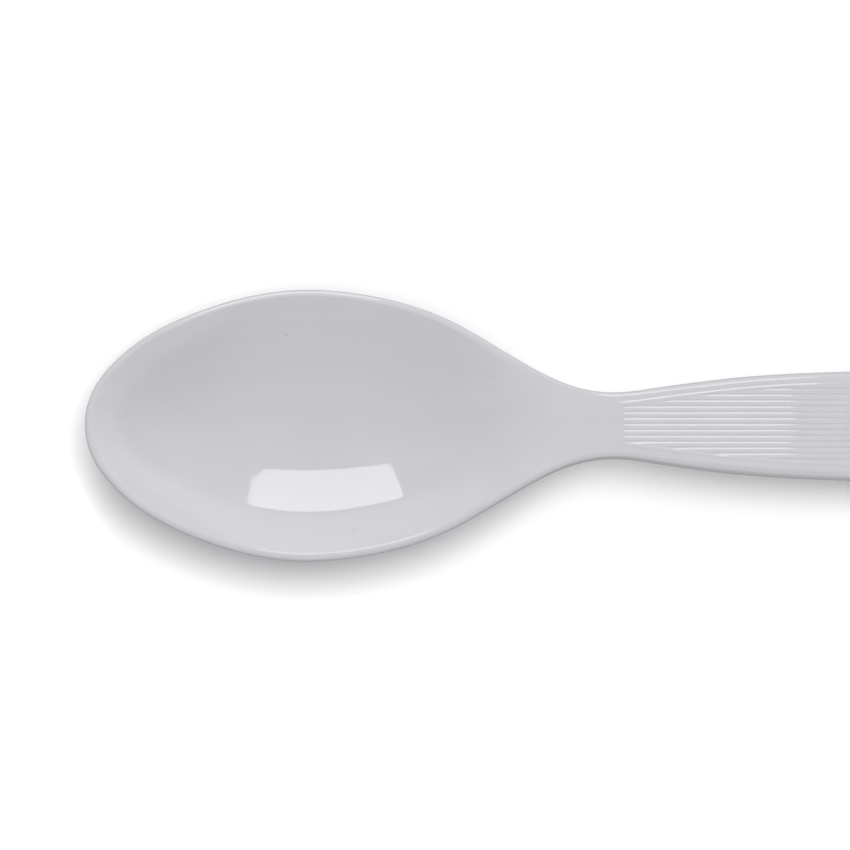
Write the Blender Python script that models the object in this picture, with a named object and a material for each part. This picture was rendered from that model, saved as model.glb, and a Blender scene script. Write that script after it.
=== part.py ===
"""Plastic spoon, one injection moulding. Metres, the handle towards +X, the bowl open towards +Z."""

from collections import namedtuple
import math

import bmesh
import bpy
from mathutils import Vector

MM = 0.001

# Plan of the spoon. Each place is measured along it from the tip of the bowl.
LENGTH = 150.0 * MM
TIP_RADIUS = 11.2 * MM
SHOULDER_AT = 6.4 * MM
SHOULDER_WIDTH = 20.7 * MM
SHOULDER_RADIUS = 20.0 * MM
SHOULDER_SLOPE = math.radians(36.7)
BOWL_WIDEST_AT = 27.7 * MM
BOWL_WIDTH = 34.4 * MM
BOWL_SIDE_RADIUS = 28.4 * MM
FLANK_AT = 50.3 * MM
FLANK_WIDTH = 21.1 * MM
FLANK_SLOPE = math.radians(-31.4)
NECK_AT = 65.9 * MM
NECK_WIDTH = 8.25 * MM
NECK_RADIUS = 15.9 * MM
FLARE_AT = 74.0 * MM
FLARE_WIDTH = 10.3 * MM
FLARE_SLOPE = math.radians(8.2)
GRIP_AT = 92.0 * MM
GRIP_WIDTH = 13.5 * MM
GRIP_SLOPE = math.radians(2.2)
GRIP_RADIUS = 330.0 * MM
HANDLE_WIDEST_FROM_END = 13.0 * MM
HANDLE_WIDTH = 14.5 * MM
HANDLE_SIDE_RADIUS = 900.0 * MM
END_RADIUS = 8.5 * MM

# Side view. The hollow's floor falls from the tip, lies nearly level under the middle of the bowl,
# and climbs a ramp to the place where it has come up to the handle.
WALL = 0.95 * MM
BOWL_DEPTH = 7.0 * MM
DEEPEST_AT = 28.0 * MM
FLOOR_RADIUS = 50.0 * MM
TIP_FALL = math.radians(37.0)
TIP_FALL_RADIUS = 58.0 * MM
RAMP_AT = 48.8 * MM
RAMP_DEPTH = 3.65 * MM
RAMP_SLOPE = math.radians(-23.3)
HOLLOW_ENDS_AT = 62.0 * MM
RUN_OUT_RADIUS = 100.0 * MM
SIDE_FULLNESS = -0.035
NECK_FULLNESS = -0.2
TIP_RISE = 1.0 * MM
ARCH_FROM = 84.0 * MM
REST_FLAT_DEPTH = 0.15 * MM

# Rim and edge. The edge is tallest at the neck, where the skirt under the handle stiffens it.
RIM_LAND = 0.75 * MM
RIM_ROUND = 0.5 * MM
RIM_FILLET = 0.12 * MM
RIM_EDGE = 1.2 * MM
NECK_EDGE = 2.2 * MM
HANDLE_EDGE = 1.5 * MM
HANDLE_ROUND = 0.9 * MM
HANDLE_ROUND_AT = 84.0 * MM
SKIRT_FROM = 44.0 * MM
SKIRT_WIDTH = 1.0 * MM
SKIRT_DRAFT = 0.3 * MM

# Raised panel on the handle, and the reeds sunk into it
PANEL_FROM = 66.7 * MM
PANEL_BORDER = 1.27 * MM
PANEL_RAISE = 0.10 * MM
PANEL_SLOPE_RUN = 0.22 * MM
PANEL_ROOT = 0.3 * MM
REED_END_LAND = 0.5 * MM
REED_SIDE_LAND = 0.41 * MM
REED_PITCH = 0.746 * MM
REED_DEPTH = 0.11 * MM
REED_SINK = 0.03 * MM
REED_FACETS = 4
REED_LENGTH_STEPS = 14
REED_EDGE_TRIM = 0.02 * MM
LEAST_FACET = 0.25
CROSSING_STEPS = 40

# Mesh steps
LEAST_LAND = 0.15 * MM
FILLET_RUN = 0.35 * MM
BAND = 2.0 * MM
WEB_STEPS = 8
ROUND_STEPS = 3
FINE_STEPS = 60
FLOOR_STEPS = 200
SPINE_INSET = 0.8
SLOPE_STEP = 0.05 * MM

COLOUR = (0.71, 0.72, 0.75, 1.0)
ROUGHNESS = 0.22

# A knot of a curve: its place along the spoon, its distance from the curve's base line, the slope
# and the bend there, and the number of steps to the next knot
Knot = namedtuple("Knot", "at off slope bend steps")

KNOTS = (
    Knot(0.0, 0.0, math.pi / 2, -1 / TIP_RADIUS, 8),
    Knot(SHOULDER_AT, SHOULDER_WIDTH / 2, SHOULDER_SLOPE, -1 / SHOULDER_RADIUS, 12),
    Knot(BOWL_WIDEST_AT, BOWL_WIDTH / 2, 0.0, -1 / BOWL_SIDE_RADIUS, 12),
    Knot(FLANK_AT, FLANK_WIDTH / 2, FLANK_SLOPE, 0.0, 10),
    Knot(NECK_AT, NECK_WIDTH / 2, 0.0, 1 / NECK_RADIUS, 5),
    Knot(FLARE_AT, FLARE_WIDTH / 2, FLARE_SLOPE, 0.0, 4),
    Knot(GRIP_AT, GRIP_WIDTH / 2, GRIP_SLOPE, -1 / GRIP_RADIUS, 9),
    Knot(LENGTH - HANDLE_WIDEST_FROM_END, HANDLE_WIDTH / 2, 0.0, -1 / HANDLE_SIDE_RADIUS, 14),
    Knot(LENGTH, 0.0, -math.pi / 2, -1 / END_RADIUS, 0),
)

FLOOR_KNOTS = (
    Knot(RIM_LAND, 0.0, TIP_FALL, 1 / TIP_FALL_RADIUS, FLOOR_STEPS),
    Knot(DEEPEST_AT, BOWL_DEPTH, 0.0, -1 / FLOOR_RADIUS, FLOOR_STEPS),
    Knot(RAMP_AT, RAMP_DEPTH, RAMP_SLOPE, 0.0, FLOOR_STEPS),
    Knot(HOLLOW_ENDS_AT, 0.0, 0.0, 1 / RUN_OUT_RADIUS, 0),
)

RIM_LEVEL = BOWL_DEPTH + WALL - REST_FLAT_DEPTH
HANDLE_DROP = RIM_LEVEL - HANDLE_EDGE
REED_FROM = PANEL_FROM + REED_END_LAND
REED_BORDER = PANEL_BORDER + PANEL_SLOPE_RUN + REED_SIDE_LAND


def ease(share):
    """Rises smoothly from 0 to 1 while the share does."""
    share = min(max(share, 0.0), 1.0)
    return share * share * (3 - 2 * share)


def blend(low, high, share):
    return low + (high - low) * share


# Curves

def span(start, end, steps):
    """Points and inward normals between two knots, on a quintic that keeps each slope and bend."""
    p0 = Vector((start.at, start.off))
    p1 = Vector((end.at, end.off))
    turn = end.slope - start.slope
    length = (p1 - p0).length * (1 + turn * turn / 24)
    t0 = Vector((math.cos(start.slope), math.sin(start.slope)))
    t1 = Vector((math.cos(end.slope), math.sin(end.slope)))
    v0 = t0 * length
    v1 = t1 * length
    a0 = Vector((-t0.y, t0.x)) * start.bend * length ** 2
    a1 = Vector((-t1.y, t1.x)) * end.bend * length ** 2
    c3 = 10 * (p1 - p0) - 6 * v0 - 4 * v1 - 1.5 * a0 + 0.5 * a1
    c4 = -15 * (p1 - p0) + 8 * v0 + 7 * v1 + 1.5 * a0 - a1
    c5 = 6 * (p1 - p0) - 3 * v0 - 3 * v1 - 0.5 * a0 + 0.5 * a1
    line = []
    for i in range(steps):
        u = i / steps
        point = p0 + v0 * u + a0 * u ** 2 / 2 + c3 * u ** 3 + c4 * u ** 4 + c5 * u ** 5
        way = v0 + a0 * u + 3 * c3 * u ** 2 + 4 * c4 * u ** 3 + 5 * c5 * u ** 4
        line.append((point, Vector((way.y, -way.x)).normalized()))
    return line


def outline(fine_steps=0):
    """The edge of one half of the spoon, from its tip to its end."""
    line = []
    for start, end in zip(KNOTS, KNOTS[1:]):
        line += span(start, end, fine_steps or start.steps)
    line.append((Vector((LENGTH, 0.0)), Vector((-1.0, 0.0))))
    return line


def bowl_floor():
    """Side view of the hollow's floor, as points whose second number is the depth below the rim."""
    line = []
    for start, end in zip(FLOOR_KNOTS, FLOOR_KNOTS[1:]):
        line += [point for point, _ in span(start, end, start.steps)]
    line.append(Vector((HOLLOW_ENDS_AT, 0.0)))
    return line


def inset(line, distance):
    return [point + inward * distance for point, inward in line]


EDGE_LINE = outline()
FINE_LINE = outline(FINE_STEPS)
INNER_RIM = inset(FINE_LINE, RIM_LAND)
FLOOR_LINE = bowl_floor()


def around(line, at):
    """The two points of a line on either side of a place along the spoon, and the share between."""
    low = 0
    high = len(line) - 1
    while high - low > 1:
        middle = (low + high) // 2
        if line[middle].x <= at:
            low = middle
        else:
            high = middle
    return line[low], line[high], (at - line[low].x) / (line[high].x - line[low].x)


def half_width(line, at):
    """Half width of a line of points at one place along the spoon, nil beyond its ends."""
    if not line[0].x < at < line[-1].x:
        return 0.0
    before, after, share = around(line, at)
    return math.sqrt(blend(before.y ** 2, after.y ** 2, share))


# Heights

def line_height(x):
    """Side view of the rim and of the handle's top: raised at the tip, arched down to the end."""
    to_tip = max(0.0, 1 - x / BOWL_WIDEST_AT)
    to_end = max(0.0, (x - ARCH_FROM) / (LENGTH - ARCH_FROM))
    return RIM_LEVEL + TIP_RISE * to_tip ** 2 - HANDLE_DROP * to_end ** 2


def floor_depth(x):
    """Depth of the hollow's floor below the rim, on the centre line."""
    if not RIM_LAND < x < HOLLOW_ENDS_AT:
        return 0.0
    before, after, share = around(FLOOR_LINE, x)
    return blend(before.y, after.y, share)


def fullness(x):
    """How far the hollow's section is fuller than a parabola. It gets leaner towards the neck."""
    share = ease((x - DEEPEST_AT) / (RAMP_AT - DEEPEST_AT))
    return blend(SIDE_FULLNESS, NECK_FULLNESS, share)


def hollow(x, y):
    """Depth of the hollow below the rim, easing into the rim's land by a small fillet."""
    half = half_width(INNER_RIM, x)
    if half <= abs(y):
        return 0.0
    out = (y / half) ** 2
    deep = floor_depth(x) * (1 - out) * (1 + fullness(x) * out)
    return deep * (1 - math.exp(-deep / RIM_FILLET))


def face_height(x, y):
    return line_height(x) - hollow(x, y)


def steepness(x, y):
    """Vertical thickness of a wall on this slope, as a multiple of the wall."""
    along = face_height(x + SLOPE_STEP, y) - face_height(x - SLOPE_STEP, y)
    across = face_height(x, y + SLOPE_STEP) - face_height(x, y - SLOPE_STEP)
    return math.hypot(1.0, along / (2 * SLOPE_STEP), across / (2 * SLOPE_STEP))


def edge_round(x):
    return blend(RIM_ROUND, HANDLE_ROUND, ease((x - NECK_AT) / (HANDLE_ROUND_AT - NECK_AT)))


def edge_height(x):
    """Height of the outer edge below the rim or the handle's top."""
    if x < NECK_AT:
        return blend(RIM_EDGE, NECK_EDGE, ease((x - SKIRT_FROM) / (NECK_AT - SKIRT_FROM)))
    return blend(NECK_EDGE, HANDLE_EDGE, ease((x - NECK_AT) / (LENGTH - NECK_AT)))


def under_height(x, y, on_skirt):
    """Underside: an even wall below the face, and no higher than the skirt's foot on the skirt."""
    shell = face_height(x, y) - WALL * steepness(x, y)
    if on_skirt:
        return min(shell, line_height(x) - edge_height(x))
    return shell


# Solids

def object_from(name, verts, faces):
    mesh = bpy.data.meshes.new(name)
    mesh.from_pydata(verts, [], faces)
    mesh.validate()
    bm = bmesh.new()
    bm.from_mesh(mesh)
    bmesh.ops.remove_doubles(bm, verts=bm.verts, dist=0.0001 * MM)
    bm.to_mesh(mesh)
    bm.free()
    obj = bpy.data.objects.new(name, mesh)
    bpy.context.scene.collection.objects.link(obj)
    obj.location.x = -LENGTH / 2
    return obj


def spine_point(point):
    """The point of the centre line that an edge point's mesh line runs to."""
    first = SPINE_INSET * TIP_RADIUS
    last = LENGTH - SPINE_INSET * END_RADIUS
    return Vector((blend(first, last, point.x / LENGTH), 0.0))


def top_rings():
    """Rings of the upper side, from the edge's wall to the centre line."""
    rings = [[] for _ in range(ROUND_STEPS + 3 + WEB_STEPS)]
    for point, inward in EDGE_LINE:
        round_off = edge_round(point.x)
        land = max(RIM_LAND, round_off + LEAST_LAND)
        column = []
        for step in range(ROUND_STEPS + 1):
            turn = math.pi / 2 * step / ROUND_STEPS
            spot = point + inward * round_off * (1 - math.cos(turn))
            drop = round_off * (1 - math.sin(turn))
            column.append((spot.x, spot.y, face_height(spot.x, spot.y) - drop))
        for distance in (land, land + FILLET_RUN):
            spot = point + inward * distance
            column.append((spot.x, spot.y, face_height(spot.x, spot.y)))
        column += web_column(point, inward, face_height)
        for ring, vert in zip(rings, column):
            ring.append(vert)
    return rings


def web_column(point, inward, height):
    """Points from the band inside the rim to the centre line."""
    start = point + inward * BAND
    end = spine_point(point)
    column = []
    for step in range(WEB_STEPS):
        spot = start.lerp(end, step / (WEB_STEPS - 1))
        column.append((spot.x, spot.y, height(spot.x, spot.y)))
    return column


def under_rings():
    """Rings of the underside, from the edge's foot to the centre line."""
    rings = [[] for _ in range(3 + WEB_STEPS)]
    for point, inward in EDGE_LINE:
        column = [(point.x, point.y, under_height(point.x, point.y, True))]
        skirt = point + inward * SKIRT_WIDTH
        column.append((skirt.x, skirt.y, under_height(skirt.x, skirt.y, True)))
        web = point + inward * (SKIRT_WIDTH + SKIRT_DRAFT)
        column.append((web.x, web.y, under_height(web.x, web.y, False)))
        column += web_column(point, inward, lambda x, y: under_height(x, y, False))
        for ring, vert in zip(rings, column):
            ring.append(vert)
    return rings


def spoon_blank():
    """One half of the moulding without its panel, mirrored across the centre plane."""
    rings = top_rings()[::-1] + under_rings()
    count = len(EDGE_LINE)
    verts = [vert for ring in rings for vert in ring]
    faces = []
    for ring in range(len(rings) - 1):
        for i in range(count - 1):
            a = ring * count + i
            faces.append((a, a + 1, a + count + 1, a + count))
    blank = object_from("spoon", verts, faces)
    mirror = blank.modifiers.new("other_half", "MIRROR")
    mirror.use_axis = (False, True, False)
    mirror.use_clip = True
    mirror.merge_threshold = 0.0001 * MM
    return blank


def panel_ring(distance, start, height):
    """One side of the panel's outline at one inset, from its square end to its round one."""
    line = inset(FINE_LINE, distance)
    round_from = LENGTH - END_RADIUS
    stations = [point.x for point, _ in EDGE_LINE if start + BAND < point.x < round_from - BAND]
    ring = [(x, half_width(line, x)) for x in [start] + stations]
    for point, inward in EDGE_LINE:
        if point.x >= round_from:
            ring.append(tuple(point + inward * distance))
    return [(x, y, line_height(x) + height) for x, y in ring]


def panel_blank():
    """The raised panel, sloped at its sides and rooted in the handle."""
    low = panel_ring(PANEL_BORDER, PANEL_FROM, -PANEL_ROOT)
    foot = panel_ring(PANEL_BORDER, PANEL_FROM, 0.0)
    top = panel_ring(PANEL_BORDER + PANEL_SLOPE_RUN, PANEL_FROM + PANEL_SLOPE_RUN, PANEL_RAISE)
    count = len(low)
    verts = []
    for ring in (low, foot, top):
        verts += ring
        verts += [(x, -y, z) for x, y, z in ring]
    faces = []
    for i in range(count - 1):
        faces.append((i + 1, i, count + i, count + i + 1))
        high = 4 * count + i
        faces.append((high, high + 1, high + count + 1, high + count))
        for level in (0, 2 * count):
            side = level + i
            faces.append((side, side + 1, side + 2 * count + 1, side + 2 * count))
            other = level + count + i
            faces.append((other + 1, other, other + 2 * count, other + 2 * count + 1))
    for level in (0, 2 * count):
        faces.append((level + count, level, level + 2 * count, level + 3 * count))
    return object_from("panel_blank", verts, faces)


def crossing(line, y, inside, outside):
    """Place where the half width of a line passes y, between a place inside and one outside."""
    for _ in range(CROSSING_STEPS):
        middle = (inside + outside) / 2
        if half_width(line, middle) > y:
            inside = middle
        else:
            outside = middle
    return inside


def reed_lines(outer):
    """Places across the handle for the reeds' valleys, flanks and crests, one valley in the middle."""
    step = REED_PITCH / REED_FACETS
    count = int(outer / step - LEAST_FACET)
    return [-outer] + [i * step for i in range(-count, count + 1)] + [outer]


def reed_height(x, y):
    """Rounded reeds with sharp valleys between them."""
    across = (y / REED_PITCH) % 1.0 - 0.5
    return line_height(x) + PANEL_RAISE - REED_SINK - REED_DEPTH * (2 * across) ** 2


def reed_cutter():
    """The block that the reeds are cut with: its lower side is their surface."""
    border = inset(FINE_LINE, REED_BORDER)
    widest_at = LENGTH - HANDLE_WIDEST_FROM_END
    outer = half_width(border, widest_at) - REED_EDGE_TRIM
    rows = []
    for y in reed_lines(outer):
        first = REED_FROM
        if half_width(border, REED_FROM) < abs(y):
            first = crossing(border, abs(y), widest_at, REED_FROM)
        last = crossing(border, abs(y), widest_at, LENGTH)
        places = [blend(first, last, i / REED_LENGTH_STEPS) for i in range(REED_LENGTH_STEPS + 1)]
        rows.append([(x, y, reed_height(x, y)) for x in places])
    return slab_above(rows, "reed_cutter")


def slab_above(rows, name):
    """A closed solid that stands on a sheet of points and reaches well above the panel."""
    wide = len(rows[0])
    sheet = [vert for row in rows for vert in row]
    roof = [(x, y, line_height(x) + WALL) for x, y, _ in sheet]
    count = len(sheet)
    faces = []
    for j in range(len(rows) - 1):
        for i in range(wide - 1):
            a = j * wide + i
            faces.append((a, a + wide, a + wide + 1, a + 1))
            faces.append((count + a, count + a + 1, count + a + wide + 1, count + a + wide))
        first = j * wide
        last = first + wide - 1
        faces.append((first, count + first, count + first + wide, first + wide))
        faces.append((last + wide, count + last + wide, count + last, last))
    for i in range(wide - 1):
        faces.append((i, i + 1, count + i + 1, count + i))
        far = (len(rows) - 1) * wide + i
        faces.append((far + 1, far, count + far, count + far + 1))
    return object_from(name, sheet + roof, faces)


def rest_cutter():
    """A block whose top is the table: it leaves the small flat that the bowl stands on."""
    mesh = bpy.data.meshes.new("rest_cutter")
    bm = bmesh.new()
    bmesh.ops.create_cube(bm, size=BOWL_WIDTH / 2)
    bm.to_mesh(mesh)
    bm.free()
    obj = bpy.data.objects.new("rest_cutter", mesh)
    bpy.context.scene.collection.objects.link(obj)
    obj.location = (DEEPEST_AT - LENGTH / 2, 0.0, -BOWL_WIDTH / 4)
    return obj


def combine(blank, helper, operation):
    helper.hide_render = True
    helper.display_type = "WIRE"
    boolean = blank.modifiers.new(helper.name, "BOOLEAN")
    boolean.operation = operation
    boolean.solver = "EXACT"
    boolean.object = helper


def plastic():
    material = bpy.data.materials.new("spoon_plastic")
    material.use_nodes = True
    shader = material.node_tree.nodes["Principled BSDF"]
    shader.inputs["Base Color"].default_value = COLOUR
    shader.inputs["Roughness"].default_value = ROUGHNESS
    shader.inputs["Metallic"].default_value = 0.0
    shader.inputs["Subsurface Weight"].default_value = 0.1
    shader.inputs["Subsurface Scale"].default_value = WALL
    return material


def build_spoon():
    spoon = spoon_blank()
    combine(spoon, rest_cutter(), "DIFFERENCE")
    combine(spoon, panel_blank(), "UNION")
    combine(spoon, reed_cutter(), "DIFFERENCE")
    spoon.data.materials.append(plastic())
    for polygon in spoon.data.polygons:
        polygon.use_smooth = True
    spoon.data.set_sharp_from_angle(angle=math.radians(30))
    return spoon


for old in list(bpy.data.objects):
    bpy.data.objects.remove(old, do_unlink=True)

build_spoon()
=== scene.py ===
"""Plastic spoon on a pale table in soft light. Metres, the handle towards +X, the bowl open towards +Z."""

from collections import namedtuple
import math

import bmesh
import bpy
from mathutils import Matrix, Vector
import numpy as np


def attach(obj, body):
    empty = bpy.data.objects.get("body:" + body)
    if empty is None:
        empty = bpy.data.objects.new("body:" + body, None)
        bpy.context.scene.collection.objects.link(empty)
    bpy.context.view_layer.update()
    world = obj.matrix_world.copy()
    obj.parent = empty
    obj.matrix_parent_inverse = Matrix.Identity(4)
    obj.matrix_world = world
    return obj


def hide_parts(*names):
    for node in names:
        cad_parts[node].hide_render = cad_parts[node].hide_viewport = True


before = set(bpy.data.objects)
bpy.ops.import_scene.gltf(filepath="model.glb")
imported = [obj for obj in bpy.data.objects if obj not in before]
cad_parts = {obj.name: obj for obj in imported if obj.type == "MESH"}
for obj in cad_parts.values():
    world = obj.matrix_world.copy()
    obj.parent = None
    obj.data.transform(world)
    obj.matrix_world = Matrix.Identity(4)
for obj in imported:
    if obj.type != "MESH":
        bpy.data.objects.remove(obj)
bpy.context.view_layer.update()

MM = 0.001

# Plan of the spoon. Each place is measured along it from the tip of the bowl.
LENGTH = 150.0 * MM
TIP_RADIUS = 11.2 * MM
SHOULDER_AT = 6.4 * MM
SHOULDER_WIDTH = 20.7 * MM
SHOULDER_RADIUS = 20.0 * MM
SHOULDER_SLOPE = math.radians(36.7)
BOWL_WIDEST_AT = 27.7 * MM
BOWL_WIDTH = 34.4 * MM
BOWL_SIDE_RADIUS = 28.4 * MM
FLANK_AT = 50.3 * MM
FLANK_WIDTH = 21.1 * MM
FLANK_SLOPE = math.radians(-31.4)
NECK_AT = 65.9 * MM
NECK_WIDTH = 8.25 * MM
NECK_RADIUS = 15.9 * MM
FLARE_AT = 74.0 * MM
FLARE_WIDTH = 10.3 * MM
FLARE_SLOPE = math.radians(8.2)
GRIP_AT = 92.0 * MM
GRIP_WIDTH = 13.5 * MM
GRIP_SLOPE = math.radians(2.2)
GRIP_RADIUS = 330.0 * MM
HANDLE_WIDEST_AT = 137.0 * MM
HANDLE_WIDTH = 14.5 * MM
HANDLE_SIDE_RADIUS = 900.0 * MM
END_RADIUS = 8.5 * MM

# Side view
WALL = 0.95 * MM
BOWL_DEPTH = 7.0 * MM
DEEPEST_AT = 28.0 * MM
FLOOR_RADIUS = 50.0 * MM
TIP_FALL = math.radians(37.0)
TIP_FALL_RADIUS = 58.0 * MM
RAMP_AT = 48.8 * MM
RAMP_DEPTH = 3.65 * MM
RAMP_SLOPE = math.radians(-23.3)
HOLLOW_ENDS_AT = 62.0 * MM
RUN_OUT_RADIUS = 100.0 * MM
SIDE_FULLNESS = -0.035
NECK_FULLNESS = -0.2
TIP_RISE = 0.999 * MM
ARCH_FROM = 84.0 * MM
REST_FLAT_DEPTH = 0.15 * MM
REST_FLAT_EASE = 0.006 * MM

# Rim, edge and the skirt under the handle. The edge's radius grows along the spoon.
RIM_LAND = 0.75 * MM
INNER_BEVEL_DEPTH = 0.10 * MM
INNER_BEVEL_SHARE = 0.45
INNER_BEVEL_EASE = 0.05 * MM
RIM_EDGE = 1.2 * MM
NECK_EDGE = 2.2 * MM
HANDLE_EDGE = 1.5 * MM
EDGE_RADIUS_AT = (40.0 * MM, 68.0 * MM, 78.0 * MM)
EDGE_RADIUS = (0.66 * MM, 0.80 * MM, 1.32 * MM)
EDGE_BEVEL = 0.17 * MM
EDGE_BEVEL_TILT = math.radians(21)
EDGE_BEVEL_EASE = 0.03 * MM
EDGE_ROUND_TILT = math.radians(27)
SKIRT_FROM = 44.0 * MM
SKIRT_INNER = 0.92 * MM
SKIRT_DRAFT = 0.45 * MM
FOOT_ROUND = 0.15 * MM

# Raised panel on the handle, and the reeds sunk into it. The margin beside the panel grows between
# two places along the handle.
PANEL_FROM = 66.0 * MM
PANEL_END_RUN = 1.15 * MM
PANEL_BORDER = 1.27 * MM
PANEL_BORDER_GROWTH = 0.20 * MM
PANEL_BORDER_GROWS = (68.0 * MM, 80.0 * MM)
PANEL_RAISE = 0.08 * MM
PANEL_SLOPE_RUN = 0.21 * MM
REED_FROM = PANEL_FROM + PANEL_END_RUN
REED_BORDER = 1.74 * MM
REED_WALL_RUN = 0.27 * MM
REED_END_RUN = 0.06 * MM
REED_PITCH = 0.746 * MM
REED_BEVEL = 0.20 * MM
REED_BEVEL_DROP = 0.08 * MM
REED_CROWN = 0.006 * MM
REED_SINK = 0.05 * MM

# Mesh steps. Each stretch of the plan between two knots has its own number of them.
ARC_STEPS = (40, 60, 60, 50, 22, 36, 75, 48)
PANEL_START_SHARES = (0.0, 0.15, 0.3, 0.45, 0.6, 0.75, 0.9)
ROUND_STEPS = 8
FOOT_STEPS = 4
SKIRT_STEPS = 9
TOP_WEB_STEPS = 36
UNDER_WEB_STEPS = 28
CURVE_TABLE_STEPS = 1000
CROSSING_STEPS = 50
SLOPE_STEP = 0.05 * MM
LEAST_STATION_GAP = 0.12 * MM
LEAST_FACET = 0.02 * MM
LEAST_WIDTH_SQUARED = MM ** 3
TOUCHING = 1e-9
MERGE_DISTANCE = 0.0002 * MM
WELL_INSIDE = LENGTH

# Mesh rings beside the edge, by their distance from it. Those of the handle have the panel's sloped
# side between the sixth and the ninth, which take all of its margin's growth.
BOWL_RINGS = np.array((0.66, 0.70, 0.74, 0.755, 0.79, 0.83, 0.865, 0.89, 0.92, 0.96, 1.05, 1.30, 1.74)) * MM
HANDLE_RINGS = np.array((1.06, 1.10, 1.14, 1.18, 1.22, 1.27, 1.34, 1.41, 1.48, 1.54, 1.60, 1.67, 1.74)) * MM
HANDLE_RINGS_FROM = 62.0 * MM
HANDLE_RINGS_RUN = 4.5 * MM
GROWING_RINGS = [0, 5, 8, 12]
GROWTH_SHARES = (0.0, 1.0, 1.0, 0.0)
WALL_SHARES = (0.35, 0.7)
FOOT_RINGS = np.array((0.4, 0.65, 0.85)) * MM
UNDER_BAND_RINGS = np.array((1.6, 1.9)) * MM

# Where the mesh lines run straight across the spoon, and where they meet its centre line straight
# across: the start and the length of the turn at the neck, then of the turn back at the end
STRAIGHT_LINES = (52.0 * MM, 10.0 * MM, 134.0 * MM, 7.0 * MM)
STRAIGHT_SPINE = (46.0 * MM, 16.0 * MM, 110.0 * MM, 31.5 * MM)
LEAST_SIDEWAYS = 0.5
SPINE_INSET = 0.8

# Angles from which an edge of the mesh is a crisp line
SHARP_ANGLE = math.radians(32)
REED_SHARP_ANGLE = math.radians(11)
UPWARD = 0.5
REED_START_MARGIN = 0.01 * MM

# A knot of a curve: its place along the spoon, its distance from the curve's base line, and the
# slope and the bend there
Knot = namedtuple("Knot", "at off slope bend")

KNOTS = (
    Knot(0.0, 0.0, math.pi / 2, -1 / TIP_RADIUS),
    Knot(SHOULDER_AT, SHOULDER_WIDTH / 2, SHOULDER_SLOPE, -1 / SHOULDER_RADIUS),
    Knot(BOWL_WIDEST_AT, BOWL_WIDTH / 2, 0.0, -1 / BOWL_SIDE_RADIUS),
    Knot(FLANK_AT, FLANK_WIDTH / 2, FLANK_SLOPE, 0.0),
    Knot(NECK_AT, NECK_WIDTH / 2, 0.0, 1 / NECK_RADIUS),
    Knot(FLARE_AT, FLARE_WIDTH / 2, FLARE_SLOPE, 0.0),
    Knot(GRIP_AT, GRIP_WIDTH / 2, GRIP_SLOPE, -1 / GRIP_RADIUS),
    Knot(HANDLE_WIDEST_AT, HANDLE_WIDTH / 2, 0.0, -1 / HANDLE_SIDE_RADIUS),
    Knot(LENGTH, 0.0, -math.pi / 2, -1 / END_RADIUS),
)

FLOOR_KNOTS = (
    Knot(RIM_LAND, 0.0, TIP_FALL, 1 / TIP_FALL_RADIUS),
    Knot(DEEPEST_AT, BOWL_DEPTH, 0.0, -1 / FLOOR_RADIUS),
    Knot(RAMP_AT, RAMP_DEPTH, RAMP_SLOPE, 0.0),
    Knot(HOLLOW_ENDS_AT, 0.0, 0.0, 1 / RUN_OUT_RADIUS),
)

RIM_LEVEL = BOWL_DEPTH + WALL - REST_FLAT_DEPTH
HANDLE_DROP = RIM_LEVEL - HANDLE_EDGE


def ease(share):
    """Rises smoothly from 0 to 1 while the share does."""
    share = np.clip(share, 0.0, 1.0)
    return share * share * (3 - 2 * share)


def blend(low, high, share):
    return low + (high - low) * share


def plateau(x, rise_from, rise_run, fall_from, fall_run):
    """Rises smoothly from 0 to 1 over one run, and falls back to 0 over another."""
    return ease((x - rise_from) / rise_run) * (1 - ease((x - fall_from) / fall_run))


# Curves

def span_terms(start, end):
    """Power series of the quintic between two knots, which keeps each slope and bend. Its pace is
    the length of a round arc with the same chord and turn, to the second order."""
    p0 = np.array((start.at, start.off))
    p1 = np.array((end.at, end.off))
    turn = end.slope - start.slope
    length = np.linalg.norm(p1 - p0) * (1 + turn * turn / 24)
    t0 = np.array((math.cos(start.slope), math.sin(start.slope)))
    t1 = np.array((math.cos(end.slope), math.sin(end.slope)))
    v0 = t0 * length
    v1 = t1 * length
    a0 = np.array((-t0[1], t0[0])) * start.bend * length ** 2
    a1 = np.array((-t1[1], t1[0])) * end.bend * length ** 2
    c3 = 10 * (p1 - p0) - 6 * v0 - 4 * v1 - 1.5 * a0 + 0.5 * a1
    c4 = -15 * (p1 - p0) + 8 * v0 + 7 * v1 + 1.5 * a0 - a1
    c5 = 6 * (p1 - p0) - 3 * v0 - 3 * v1 - 0.5 * a0 + 0.5 * a1
    return np.array((p0, v0, a0 / 2, c3, c4, c5))


def spans(knots):
    return np.array([span_terms(start, end) for start, end in zip(knots, knots[1:])])


def curve(terms_of_spans, station):
    """Points and inward normals of a curve. A station counts the knots from its start."""
    station = np.atleast_1d(np.asarray(station, float))
    index = np.minimum(station.astype(int), len(terms_of_spans) - 1)
    share = (station - index)[:, None]
    terms = terms_of_spans[index]
    power = np.arange(6)
    point = np.einsum("np,npc->nc", share ** power, terms)
    way = np.einsum("np,npc->nc", power[1:] * share ** power[:5], terms[:, 1:])
    way /= np.linalg.norm(way, axis=1, keepdims=True)
    return point, np.stack((way[:, 1], -way[:, 0]), axis=1)


SPANS = spans(KNOTS)
LAST = float(len(SPANS))
WIDEST_OF_HANDLE = LAST - 1


def edge(station):
    return curve(SPANS, station)


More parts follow.
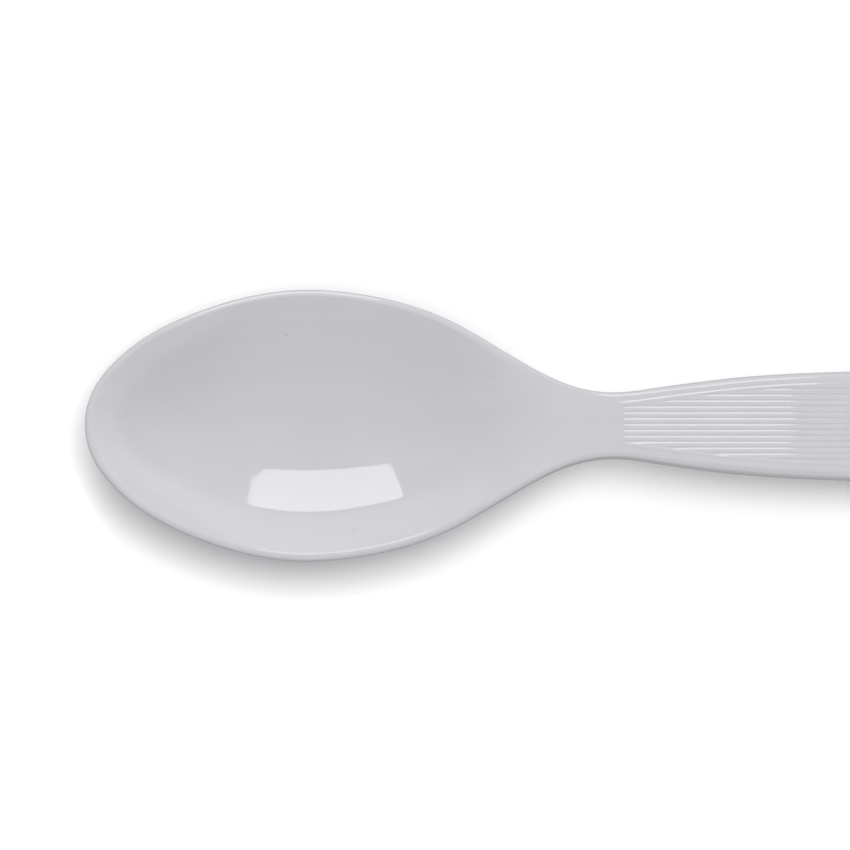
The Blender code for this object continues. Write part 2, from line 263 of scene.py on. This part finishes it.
def across(station):
    """The way each mesh line runs inward: square to the edge on the bowl and the end, and
    straight across the neck and the handle. Each step along it goes one step away from the edge."""
    point, inward = edge(station)
    straight = plateau(point[:, 0], *STRAIGHT_LINES)
    step = 1 / np.minimum(inward[:, 1], -LEAST_SIDEWAYS)
    level = np.stack((np.zeros_like(step), step), axis=1)
    return point, blend(inward, level, straight[:, None])


def band_point(station, distance):
    point, way = across(station)
    return point + way * distance


def crossing(value, low, high, rises):
    """Station between two others where a value that only rises, or only falls, is nil."""
    for _ in range(CROSSING_STEPS):
        middle = (low + high) / 2
        if (value(middle) > 0) == rises:
            high = middle
        else:
            low = middle
    return (low + high) / 2


def station_at(x):
    return crossing(lambda s: edge(s)[0][0, 0] - x, 0.0, LAST, True)


def table_stations(terms_of_spans):
    count = len(terms_of_spans)
    return np.linspace(0.0, count, count * CURVE_TABLE_STEPS + 1)


def inner_rim_table():
    """Places along the spoon, and the square of the inner rim's distance from the centre line."""
    point, inward = edge(table_stations(SPANS))
    line = point + inward * RIM_LAND
    return line[:, 0], line[:, 1] ** 2


def floor_table():
    """Places along the spoon, and the hollow's depth there."""
    terms = spans(FLOOR_KNOTS)
    line = curve(terms, table_stations(terms))[0]
    return line[:, 0], line[:, 1]


INNER_RIM = inner_rim_table()
BOWL_FLOOR = floor_table()


# Heights

def line_height(x):
    """Side view of the rim and of the handle's top: raised at the tip, arched down to the end."""
    to_tip = np.maximum(0.0, 1 - x / BOWL_WIDEST_AT)
    to_end = np.maximum(0.0, (x - ARCH_FROM) / (LENGTH - ARCH_FROM))
    return RIM_LEVEL + TIP_RISE * to_tip ** 2 - HANDLE_DROP * to_end ** 2


def floor_depth(x):
    """Depth of the hollow's floor below the rim, on the centre line."""
    return np.interp(x, *BOWL_FLOOR, left=0.0, right=0.0)


def fullness(x):
    """How far the hollow's section is fuller than a parabola. It gets leaner towards the neck."""
    return blend(SIDE_FULLNESS, NECK_FULLNESS, ease((x - DEEPEST_AT) / (RAMP_AT - DEEPEST_AT)))


def plain_hollow(x, y):
    """Depth of the hollow below the rim, before the bevel at its edge."""
    squared = np.interp(x, *INNER_RIM, left=LEAST_WIDTH_SQUARED, right=LEAST_WIDTH_SQUARED)
    out = np.minimum(1.0, y ** 2 / np.maximum(squared, LEAST_WIDTH_SQUARED))
    return floor_depth(x) * (1 - out) * (1 + fullness(x) * out)


def face_height(x, y):
    """Upper side inside the rim. The hollow starts with a narrow bevel."""
    deep = np.maximum(0.0, plain_hollow(x, y))
    over = np.maximum(0.0, deep - INNER_BEVEL_DEPTH)
    eased = over ** 2 / (2 * INNER_BEVEL_EASE)
    steeper = np.where(over < INNER_BEVEL_EASE, eased, over - INNER_BEVEL_EASE / 2)
    return line_height(x) - blend(steeper, deep, INNER_BEVEL_SHARE)


def plain_face_height(x, y):
    """Upper side inside the rim, before the bevel."""
    return line_height(x) - np.maximum(0.0, plain_hollow(x, y))


def shell_height(x, y):
    """Underside of the shell: an even wall below the hollow."""
    rise = plain_face_height(x + SLOPE_STEP, y) - plain_face_height(x - SLOPE_STEP, y)
    side_rise = plain_face_height(x, y + SLOPE_STEP) - plain_face_height(x, y - SLOPE_STEP)
    along = rise / (2 * SLOPE_STEP)
    side = side_rise / (2 * SLOPE_STEP)
    return plain_face_height(x, y) - WALL * np.sqrt(1 + along ** 2 + side ** 2)


def edge_section(x):
    """Distances from the edge and drops of the outer edge's section, from its wall to its land:
    a round, then a narrow bevel."""
    radius = np.interp(x, EDGE_RADIUS_AT, EDGE_RADIUS)
    tilt = np.linspace(math.pi / 2, EDGE_ROUND_TILT, ROUND_STEPS - 1)
    distance = radius * (1 - np.sin(tilt))
    rise = radius * np.cos(tilt)
    bevel_rise = EDGE_BEVEL * math.tan(EDGE_BEVEL_TILT)
    ease_rise = EDGE_BEVEL_EASE * math.tan(EDGE_BEVEL_TILT / 2)
    distance = np.append(distance, distance[-1] + np.array((EDGE_BEVEL, EDGE_BEVEL + EDGE_BEVEL_EASE)))
    rise = np.append(rise, rise[-1] + np.array((bevel_rise, bevel_rise + ease_rise)))
    return distance, rise[-1] - rise


def edge_height(x):
    """Height of the outer edge below the rim or the handle's top."""
    to_neck = ease((x - SKIRT_FROM) / (NECK_AT - SKIRT_FROM))
    to_end = ease((x - NECK_AT) / (LENGTH - NECK_AT))
    return np.where(
        x < NECK_AT,
        blend(RIM_EDGE, NECK_EDGE, to_neck),
        blend(NECK_EDGE, HANDLE_EDGE, to_end),
    )


def border_growth(x):
    """How much wider the margin beside the panel is than where the panel starts."""
    low, high = PANEL_BORDER_GROWS
    return PANEL_BORDER_GROWTH * ease((x - low) / (high - low))


def panel_rise(x, distance):
    """Height of the raised panel, by the place along the spoon and the distance from its edge."""
    from_side = np.clip((distance - PANEL_BORDER - border_growth(x)) / PANEL_SLOPE_RUN, 0.0, 1.0)
    from_end = ease((x - PANEL_FROM) / PANEL_END_RUN)
    return PANEL_RAISE * from_side * from_end


def reed_height(x, y):
    """Flat reeds with bevelled sides that meet in sharp valleys."""
    from_valley = np.abs((y / REED_PITCH + 0.5) % 1.0 - 0.5) * REED_PITCH
    bevel = np.maximum(0.0, 1 - from_valley / REED_BEVEL)
    crown = np.maximum(0.0, (from_valley - REED_BEVEL) / (REED_PITCH / 2 - REED_BEVEL))
    return line_height(x) + PANEL_RAISE - REED_SINK - REED_BEVEL_DROP * bevel + REED_CROWN * crown


# Mesh of one half of the spoon, seen as lines that run from its edge to its centre line

# Where the reeds start: the stations of the top and the foot of the wall before them, and the mesh
# lines along them, by their distance from the centre line
Reeds = namedtuple("Reeds", "edge foot lines")


def reed_wall_foot(station):
    """Foot of the wall beside the reeds."""
    return band_point(station, REED_BORDER + REED_WALL_RUN)[0]


def reed_lines():
    """Mesh lines along the reeds: each valley, the two bevels' edges beside it, and each crown."""
    reach = reed_wall_foot(WIDEST_OF_HANDLE)[1]
    parts = np.array((0.0, REED_BEVEL, REED_PITCH / 2, REED_PITCH - REED_BEVEL))
    lines = (np.arange(int(reach / REED_PITCH) + 1)[:, None] * REED_PITCH + parts).ravel()
    return lines[lines < reach - LEAST_FACET]


def line_ends(reeds):
    """Stations where the lines along the reeds meet the wall beside them."""
    ends = []
    for y in reeds.lines:
        if y > reed_wall_foot(reeds.foot)[1]:
            ends.append(crossing(lambda s: reed_wall_foot(s)[1] - y, reeds.foot, WIDEST_OF_HANDLE, True))
        if y > 0:
            ends.append(crossing(lambda s: reed_wall_foot(s)[1] - y, WIDEST_OF_HANDLE, LAST, False))
    return ends


def regular_stations():
    regular = [LAST]
    for index, count in enumerate(ARC_STEPS):
        regular += list(index + np.arange(count) / count)
    return regular


def stations():
    """Stations of the mesh lines, and the reeds."""
    reeds = Reeds(station_at(REED_FROM), station_at(REED_FROM + REED_END_RUN), reed_lines())
    panel_starts = [station_at(PANEL_FROM + PANEL_END_RUN * share) for share in PANEL_START_SHARES]
    fixed = panel_starts + [reeds.edge, reeds.foot] + line_ends(reeds)
    places = edge(fixed)[0]
    clear = [
        s for s in regular_stations()
        if np.min(np.linalg.norm(places - edge(s)[0], axis=1)) > LEAST_STATION_GAP
    ]
    return np.array(sorted(clear + fixed)), reeds


def spine(x):
    """Place on the centre line that a mesh line runs to: fanned at the tip and at the end."""
    fanned = blend(SPINE_INSET * TIP_RADIUS, LENGTH - SPINE_INSET * END_RADIUS, x / LENGTH)
    return blend(fanned, x, plateau(x, *STRAIGHT_SPINE))


def top_rings(station):
    """Points of the upper side at one station, from the edge's wall to the reeds' border."""
    point, way = (values[0] for values in across(station))
    x = point[0]
    section, fall = edge_section(x)
    land = blend(BOWL_RINGS, HANDLE_RINGS, ease((x - HANDLE_RINGS_FROM) / HANDLE_RINGS_RUN))
    land = land + border_growth(x) * np.interp(land, HANDLE_RINGS[GROWING_RINGS], GROWTH_SHARES)
    distance = np.concatenate((section, land))
    drop = np.concatenate((fall, np.zeros(len(land))))
    spots = point + way * distance[:, None]
    z = face_height(spots[:, 0], spots[:, 1]) + panel_rise(spots[:, 0], distance) - drop
    return np.column_stack((spots, z))


def web(start, end, steps):
    """Even steps from one place to another, without the start."""
    share = (np.arange(steps) + 1)[:, None] / steps
    return blend(np.asarray(start), np.asarray(end), share)


def top_web(station):
    """Points of the upper side from the border's inner ring to the centre line."""
    x_of_edge = edge(station)[0][0, 0]
    spots = web(band_point(station, REED_BORDER)[0], (spine(x_of_edge), 0.0), TOP_WEB_STEPS)
    x, y = spots.T
    return np.column_stack((spots, face_height(x, y) + panel_rise(x, WELL_INSIDE)))


def outer_wall(x):
    """Distances from the edge and heights of the outer wall, down to its rounded foot."""
    foot = line_height(x) - edge_height(x)
    top = line_height(x) - edge_section(x)[1][0]
    wall = [(0.0, blend(top, foot + FOOT_ROUND, share)) for share in WALL_SHARES]
    for turn in np.linspace(0.0, math.pi / 2, FOOT_STEPS + 1):
        wall.append((FOOT_ROUND * (1 - math.cos(turn)), foot + FOOT_ROUND * (1 - math.sin(turn))))
    return wall


def under_rings(station):
    """Points of the underside at one station, from the edge's wall to the centre line."""
    point, way = (values[0] for values in across(station))
    x = point[0]
    wall = [(point + way * distance).tolist() + [z] for distance, z in outer_wall(x)]
    skirt = SKIRT_INNER + SKIRT_DRAFT * np.arange(SKIRT_STEPS + 1) / SKIRT_STEPS
    distance = np.concatenate((FOOT_RINGS, skirt, UNDER_BAND_RINGS))
    spots = point + way * distance[:, None]
    inner = web(spots[-1], (spine(x), 0.0), UNDER_WEB_STEPS)
    distance = np.concatenate((distance, np.full(len(inner), WELL_INSIDE)))
    spots = np.concatenate((spots, inner))
    height = line_height(spots[:, 0]) - edge_height(spots[:, 0])
    to_shell = ease((distance - SKIRT_INNER) / SKIRT_DRAFT)
    z = blend(height, shell_height(*spots.T), to_shell)
    return np.concatenate((np.array(wall), np.column_stack((spots, z))))


class Half:
    """Vertices and faces of the half of the spoon on the +Y side."""

    def __init__(self):
        self.verts = []
        self.faces = []

    def add(self, points):
        first = len(self.verts)
        self.verts += [tuple(float(value) for value in point) for point in points]
        return list(range(first, len(self.verts)))

    def face(self, *corners):
        """Adds a face, leaving out corners that fall together."""
        kept = [c for i, c in enumerate(corners) if c != corners[i - 1]]
        if len(set(kept)) > 2:
            self.faces.append(tuple(kept))

    def strip(self, first, second, up=True):
        """Quads between two mesh lines that run inward, the second further along the spoon."""
        for i in range(len(first) - 1):
            quad = (first[i], first[i + 1], second[i + 1], second[i])
            self.face(*(quad if up else quad[::-1]))

    def stitch(self, first, second):
        """Triangles between two lines across the spoon with different numbers of points."""
        i = 0
        j = 0
        while i < len(first) - 1 or j < len(second) - 1:
            next_first = self.verts[first[i + 1]][1] if i < len(first) - 1 else -1.0
            next_second = self.verts[second[j + 1]][1] if j < len(second) - 1 else -1.0
            if next_first >= next_second:
                self.face(first[i], first[i + 1], second[j])
                i += 1
            else:
                self.face(first[i], second[j + 1], second[j])
                j += 1


def reed_start_line(half, station, reeds):
    """Vertices across the panel at the top of the wall before the reeds."""
    x = edge(station)[0][0, 0]
    reach = reed_wall_foot(reeds.foot)[1]
    inside = [y for y in reeds.lines[::-1] if y < reach - TOUCHING]
    return half.add([(x, y, line_height(x) + PANEL_RAISE) for y in inside])


def reed_line(half, station, reeds):
    """Vertices across the reeds. Lines beyond the wall's foot end on it, so they share its vertex."""
    x, reach = reed_wall_foot(station)
    foot = half.add([(x, max(reach, 0.0), reed_height(x, reach))])[0]
    line = [foot]
    for y in reeds.lines[::-1]:
        if y < reach - TOUCHING:
            line += half.add([(x, y, reed_height(x, y))])
        else:
            line.append(foot)
    return line


def middle_line(half, border, station, reeds):
    """Vertices of the upper side inside the border's inner ring. The border's own is the first but
    on the reeds, which have a wall beside them."""
    if station < reeds.edge:
        return [border] + half.add(top_web(station))
    if station == reeds.edge:
        return [border] + reed_start_line(half, station, reeds)
    return reed_line(half, station, reeds)


def join_middle(half, pair, borders, first, second, reeds):
    """Faces between two lines inside the border, which are at a pair of stations."""
    if pair[1] < reeds.edge:
        half.strip(first, second)
    elif pair[1] == reeds.edge:
        half.stitch(first, second)
    elif pair[0] == reeds.edge:
        foot = [second[0]] + [v for v in second[1:] if v != second[0]]
        half.face(borders[0], foot[0], borders[1])
        half.strip(first, foot)
    else:
        half.face(borders[0], first[0], second[0], borders[1])
        half.strip(first, second)


def half_spoon():
    half = Half()
    order, reeds = stations()
    rings = [half.add(top_rings(station)) for station in order]
    unders = [[ring[0]] + half.add(under_rings(station)) for ring, station in zip(rings, order)]
    middles = [middle_line(half, ring[-1], station, reeds) for ring, station in zip(rings, order)]
    for i in range(len(order) - 1):
        half.strip(rings[i], rings[i + 1])
        half.strip(unders[i], unders[i + 1], up=False)
        borders = (rings[i][-1], rings[i + 1][-1])
        join_middle(half, order[i:i + 2], borders, middles[i], middles[i + 1], reeds)
    return half


def settle(z):
    """Eases the underside of the bowl onto the small flat that it stands on."""
    return (z + np.sqrt(z ** 2 + 4 * REST_FLAT_EASE ** 2)) / 2


def is_crisp(line):
    """Whether an edge of the mesh is a crisp line: the reeds have finer ones than the rest."""
    start = REED_FROM - LENGTH / 2 - REED_START_MARGIN
    on_top = all(face.normal.z > UPWARD for face in line.link_faces)
    in_reeds = on_top and all(vert.co.x > start for vert in line.verts)
    return line.calc_face_angle(0.0) > (REED_SHARP_ANGLE if in_reeds else SHARP_ANGLE)


def rough_mesh():
    """Mesh of both halves, not yet joined, with the spoon's middle at the origin."""
    half = half_spoon()
    verts = np.array(half.verts)
    verts[:, 0] -= LENGTH / 2
    verts[:, 1] = np.where(np.abs(verts[:, 1]) < TOUCHING, 0.0, verts[:, 1])
    verts[:, 2] = settle(verts[:, 2])
    mirrored = verts * (1, -1, 1)
    mirrored_faces = [tuple(len(verts) + corner for corner in face[::-1]) for face in half.faces]
    mesh = bpy.data.meshes.new("spoon_moulding")
    mesh.from_pydata(np.concatenate((verts, mirrored)).tolist(), [], half.faces + mirrored_faces)
    return mesh


def finish_mesh(mesh):
    """Joins what touches, and shades the mesh smooth but for its crisp lines."""
    bm = bmesh.new()
    bm.from_mesh(mesh)
    bmesh.ops.remove_doubles(bm, verts=bm.verts, dist=MERGE_DISTANCE)
    bmesh.ops.dissolve_degenerate(bm, edges=bm.edges, dist=MERGE_DISTANCE)
    for face in bm.faces:
        face.smooth = True
    for line in bm.edges:
        line.smooth = not is_crisp(line)
    bm.to_mesh(mesh)
    bm.free()
    mesh.validate()


def spoon_object():
    mesh = rough_mesh()
    finish_mesh(mesh)
    obj = bpy.data.objects.new("spoon_moulding", mesh)
    bpy.context.scene.collection.objects.link(obj)
    return obj


# Materials

BASE_COLOUR = (0.619, 0.616, 0.645)
REFRACTION = 1.5
MILKINESS = 0.1
MILKY_REACH = 0.6 * MM

# Faint clouds and streaks, which change the colour by the tint, and the clouds the polish too. Each
# span is the part of the noise that counts.
TINT = 0.02
TINT_SPAN = (0.5, 1.5)
SMOOTHEST = 0.028
ROUGHEST = 0.045
POLISH_SPAN = (0.3, 0.7)
CLOUD_SCALE = 90.0
CLOUD_DETAIL = 3.0
FLOW_STRETCH = (40.0, 520.0, 520.0)
FINE_DETAIL = 2.0

# Orange peel
PEEL_SCALE = 700.0
PEEL_STRENGTH = 0.25
PEEL_HEIGHT = 0.02 * MM

# Specks in the plastic: x, y, radius and how much darker. They fade between two shares of the radius.
Speck = namedtuple("Speck", "x y radius darker")

SPECKS = (
    Speck(-50.1 * MM, 11.9 * MM, 0.08 * MM, 0.45),
    Speck(-23.9 * MM, 6.3 * MM, 0.08 * MM, 0.45),
    Speck(-36.9 * MM, -6.5 * MM, 0.06 * MM, 0.40),
    Speck(-41.4 * MM, -13.2 * MM, 0.26 * MM, 0.07),
    Speck(52.3 * MM, 2.1 * MM, 0.07 * MM, 0.40),
)
SPECK_FADE = (0.6, 1.3)

# The table, and the shade close to what stands on it
TABLE_COLOUR = (0.92, 0.92, 0.92, 1.0)
TABLE_SHADE = (0.12, 0.135, 0.165, 1.0)
TABLE_SHADE_REACH = 8.2 * MM
TABLE_SHADE_SAMPLES = 16
TABLE_GLOW = 0.20
TABLE_ROUGHNESS = 0.9
TABLE_SHINE = 0.1
WHITE = (1.0, 1.0, 1.0, 1.0)


class Nodes:
    """Short names for making and joining shader nodes. A value is a number or a socket."""

    def __init__(self, tree):
        self.tree = tree

    def make(self, kind, **values):
        node = self.tree.nodes.new(kind)
        for key, value in values.items():
            if key in node.inputs:
                node.inputs[key].default_value = value
            else:
                setattr(node, key, value)
        return node

    def join(self, source, target):
        self.tree.links.new(source, target)

    def maths(self, operation, first, second):
        node = self.make("ShaderNodeMath", operation=operation)
        for value, socket in zip((first, second), node.inputs):
            if isinstance(value, (int, float)):
                socket.default_value = value
            else:
                self.join(value, socket)
        return node.outputs["Value"]

    def vector_maths(self, operation, vector, constant):
        node = self.make("ShaderNodeVectorMath", operation=operation)
        self.join(vector, node.inputs[0])
        node.inputs[1].default_value = constant
        return node

    def noise(self, place, scale, detail):
        node = self.make("ShaderNodeTexNoise", Scale=scale, Detail=detail)
        self.join(place, node.inputs["Vector"])
        return node.outputs["Fac"]

    def ramp(self, value, start, full, low=0.0, high=1.0, kind="LINEAR"):
        """Goes from low to high while the value goes from the start to where it is full."""
        node = self.make("ShaderNodeMapRange", interpolation_type=kind)
        for name, number in zip(("From Min", "From Max", "To Min", "To Max"), (start, full, low, high)):
            node.inputs[name].default_value = number
        self.join(value, node.inputs["Value"])
        return node.outputs["Result"]


def new_material(name):
    material = bpy.data.materials.new(name)
    material.use_nodes = True
    return material, Nodes(material.node_tree), material.node_tree.nodes["Principled BSDF"]


def speck_shade(nodes, place):
    """Brightness that is 1 all over but at the specks."""
    flat = nodes.vector_maths("MULTIPLY", place, (1.0, 1.0, 0.0)).outputs["Vector"]
    core, rim = SPECK_FADE
    shade = 1.0
    for speck in SPECKS:
        away = nodes.vector_maths("DISTANCE", flat, (speck.x, speck.y, 0.0)).outputs["Value"]
        bright = nodes.ramp(
            away, speck.radius * core, speck.radius * rim, low=1 - speck.darker, kind="SMOOTHSTEP",
        )
        shade = nodes.maths("MULTIPLY", shade, bright)
    return shade


def brightness(nodes, place, cloud):
    """Faint clouds, streaks along the spoon where the plastic flowed, and specks."""
    stretched = nodes.vector_maths("MULTIPLY", place, FLOW_STRETCH).outputs["Vector"]
    patches = nodes.maths("ADD", cloud, nodes.noise(stretched, 1.0, FINE_DETAIL))
    faint = nodes.ramp(patches, *TINT_SPAN, low=1 - TINT, high=1 + TINT)
    return nodes.maths("MULTIPLY", faint, speck_shade(nodes, place))


def plastic():
    material, nodes, shader = new_material("glossy_white_plastic")
    shader.inputs["IOR"].default_value = REFRACTION
    shader.inputs["Subsurface Weight"].default_value = MILKINESS
    shader.inputs["Subsurface Radius"].default_value = (1.0, 1.0, 1.0)
    shader.inputs["Subsurface Scale"].default_value = MILKY_REACH
    place = nodes.make("ShaderNodeTexCoord").outputs["Object"]
    cloud = nodes.noise(place, CLOUD_SCALE, CLOUD_DETAIL)
    colour = nodes.make("ShaderNodeVectorMath", operation="SCALE")
    colour.inputs[0].default_value = BASE_COLOUR
    nodes.join(brightness(nodes, place, cloud), colour.inputs["Scale"])
    nodes.join(colour.outputs["Vector"], shader.inputs["Base Color"])
    polish = nodes.ramp(cloud, *POLISH_SPAN, low=SMOOTHEST, high=ROUGHEST)
    nodes.join(polish, shader.inputs["Roughness"])
    peel = nodes.make("ShaderNodeBump", Strength=PEEL_STRENGTH, Distance=PEEL_HEIGHT)
    nodes.join(nodes.noise(place, PEEL_SCALE, FINE_DETAIL), peel.inputs["Height"])
    nodes.join(peel.outputs["Normal"], shader.inputs["Normal"])
    return material


def table_top():
    material, nodes, shader = new_material("pale_table")
    openness = nodes.make(
        "ShaderNodeAmbientOcclusion", Distance=TABLE_SHADE_REACH, samples=TABLE_SHADE_SAMPLES,
    )
    mix = nodes.make("ShaderNodeMix", data_type="RGBA")
    shade, colour = (socket for socket in mix.inputs if socket.type == "RGBA")
    shade.default_value = TABLE_SHADE
    colour.default_value = TABLE_COLOUR
    nodes.join(openness.outputs["AO"], mix.inputs[0])
    mixed = next(socket for socket in mix.outputs if socket.type == "RGBA")
    nodes.join(mixed, shader.inputs["Base Color"])
    shader.inputs["Roughness"].default_value = TABLE_ROUGHNESS
    shader.inputs["Specular IOR Level"].default_value = TABLE_SHINE
    shader.inputs["Emission Color"].default_value = WHITE
    shader.inputs["Emission Strength"].default_value = TABLE_GLOW
    return material


# Studio

CAMERA_ELEVATION = math.radians(80)
PIXELS_PER_MM = 8.02
FRAME_PIXELS = 850
TIP_PIXEL = 85.2
AXIS_PIXEL = 423.95
LENS = 200.0
SENSOR = 36.0
CLIP_FROM = 0.01
CLIP_TO = 50.0
FLOOR_SIZE = 8.0
FLOOR_LEVEL = -0.01 * MM
KEY_ANGLE = math.radians(50)
KEY_LEAN = math.radians(8)
KEY_RIGHT = math.radians(9)
KEY_RADIANCE = 0.685

# The softbox, and its parts: the whole width, then the brighter middle of its lamp. Each part has
# its two ends, measured from the deepest place of the bowl, and its radiance.
SOFTBOX_Y = 2.4
SOFTBOX_FROM_Z = 1.07
SOFTBOX_TO_Z = 3.07
SOFTBOX_ROLL = math.radians(-1.2)
SOFTBOX_PARTS = ((-0.74, 0.345, 4.3), (-0.36, -0.12, 0.55), (-0.29, -0.19, 0.55))

# Soft light of the room by direction. Each part has ramps along axes of the direction, with where
# each starts and where it is full, and its radiance there.
Ramp = namedtuple("Ramp", "axis start full")
RoomPart = namedtuple("RoomPart", "name ramps radiance")

ABOVE = Ramp("Z", -0.05, 0.0)
BELOW = Ramp("Z", 0.0, -0.05)
LOW = Ramp("Z", 0.45, 0.25)

ROOM_LIGHT = (
    RoomPart("horizon_right", (ABOVE, LOW, Ramp("X", -0.60, -0.10)), 0.93),
    RoomPart("horizon_left", (ABOVE, LOW, Ramp("X", -0.10, -0.60)), 0.72),
    RoomPart("near_left", (ABOVE, Ramp("Y", -0.10, -0.25), Ramp("X", 0.40, 0.00)), 0.47),
    RoomPart("below", (BELOW,), 0.40),
)


def camera():
    data = bpy.data.cameras.new("camera")
    data.lens = LENS
    data.sensor_width = SENSOR
    data.clip_start = CLIP_FROM
    data.clip_end = CLIP_TO
    frame_width = FRAME_PIXELS / PIXELS_PER_MM * MM
    distance = frame_width * LENS / SENSOR
    ahead = -LENGTH / 2 + (FRAME_PIXELS / 2 - TIP_PIXEL) / PIXELS_PER_MM * MM
    beside = (AXIS_PIXEL - FRAME_PIXELS / 2) / PIXELS_PER_MM * MM / math.sin(CAMERA_ELEVATION)
    target = Vector((ahead, beside, RIM_LEVEL))
    back = Vector((0.0, -math.cos(CAMERA_ELEVATION), math.sin(CAMERA_ELEVATION)))
    obj = bpy.data.objects.new("camera", data)
    obj.location = target + back * distance
    obj.rotation_euler = (math.pi / 2 - CAMERA_ELEVATION, 0.0, 0.0)
    bpy.context.scene.collection.objects.link(obj)
    bpy.context.scene.camera = obj


def room():
    world = bpy.data.worlds.new("studio")
    world.use_nodes = True
    nodes = Nodes(world.node_tree)
    way = nodes.make("ShaderNodeSeparateXYZ")
    nodes.join(nodes.make("ShaderNodeTexCoord").outputs["Generated"], way.inputs["Vector"])
    total = 0.0
    for part in ROOM_LIGHT:
        light = part.radiance
        for ramp in part.ramps:
            share = nodes.ramp(way.outputs[ramp.axis], ramp.start, ramp.full, kind="SMOOTHSTEP")
            share.node.label = part.name
            light = nodes.maths("MULTIPLY", light, share)
        total = nodes.maths("ADD", total, light)
    background = world.node_tree.nodes["Background"]
    background.inputs["Color"].default_value = WHITE
    nodes.join(total, background.inputs["Strength"])
    return world


def softbox_part(from_x, to_x, radiance):
    """Part of the upright softbox beyond the far side of the bowl."""
    data = bpy.data.lights.new("softbox", "AREA")
    data.shape = "RECTANGLE"
    data.size = to_x - from_x
    data.size_y = SOFTBOX_TO_Z - SOFTBOX_FROM_Z
    data.energy = radiance * math.pi * data.size * data.size_y
    obj = bpy.data.objects.new("softbox", data)
    obj.location = (
        DEEPEST_AT - LENGTH / 2 + (from_x + to_x) / 2,
        SOFTBOX_Y,
        (SOFTBOX_FROM_Z + SOFTBOX_TO_Z) / 2,
    )
    obj.rotation_euler = (-math.pi / 2, SOFTBOX_ROLL, 0.0)
    obj.visible_camera = False
    bpy.context.scene.collection.objects.link(obj)


def key_light():
    """Wide soft light overhead, leaning to the far side. It adds no shine."""
    data = bpy.data.lights.new("key", "SUN")
    data.angle = KEY_ANGLE
    data.energy = KEY_RADIANCE * math.pi
    obj = bpy.data.objects.new("key", data)
    obj.rotation_euler = (-KEY_LEAN, KEY_RIGHT, 0.0)
    obj.visible_camera = False
    obj.visible_glossy = False
    bpy.context.scene.collection.objects.link(obj)


def studio():
    scene = bpy.context.scene
    scene.view_settings.view_transform = "Standard"
    scene.view_settings.look = "None"
    scene.world = room()
    for part in SOFTBOX_PARTS:
        softbox_part(*part)
    key_light()


def floor():
    """Table that the spoon lies on. The room's light from below stands for what it throws back."""
    mesh = bpy.data.meshes.new("floor")
    reach = FLOOR_SIZE / 2
    corners = [(-reach, -reach), (reach, -reach), (reach, reach), (-reach, reach)]
    mesh.from_pydata([(x, y, FLOOR_LEVEL) for x, y in corners], [], [(0, 1, 2, 3)])
    obj = bpy.data.objects.new("floor", mesh)
    obj.data.materials.append(table_top())
    bpy.context.scene.collection.objects.link(obj)
    obj.visible_diffuse = False
    obj.visible_glossy = False


camera()
studio()
floor()

spoon = spoon_object()
spoon.data.materials.append(plastic())
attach(spoon, "root")
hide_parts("spoon")
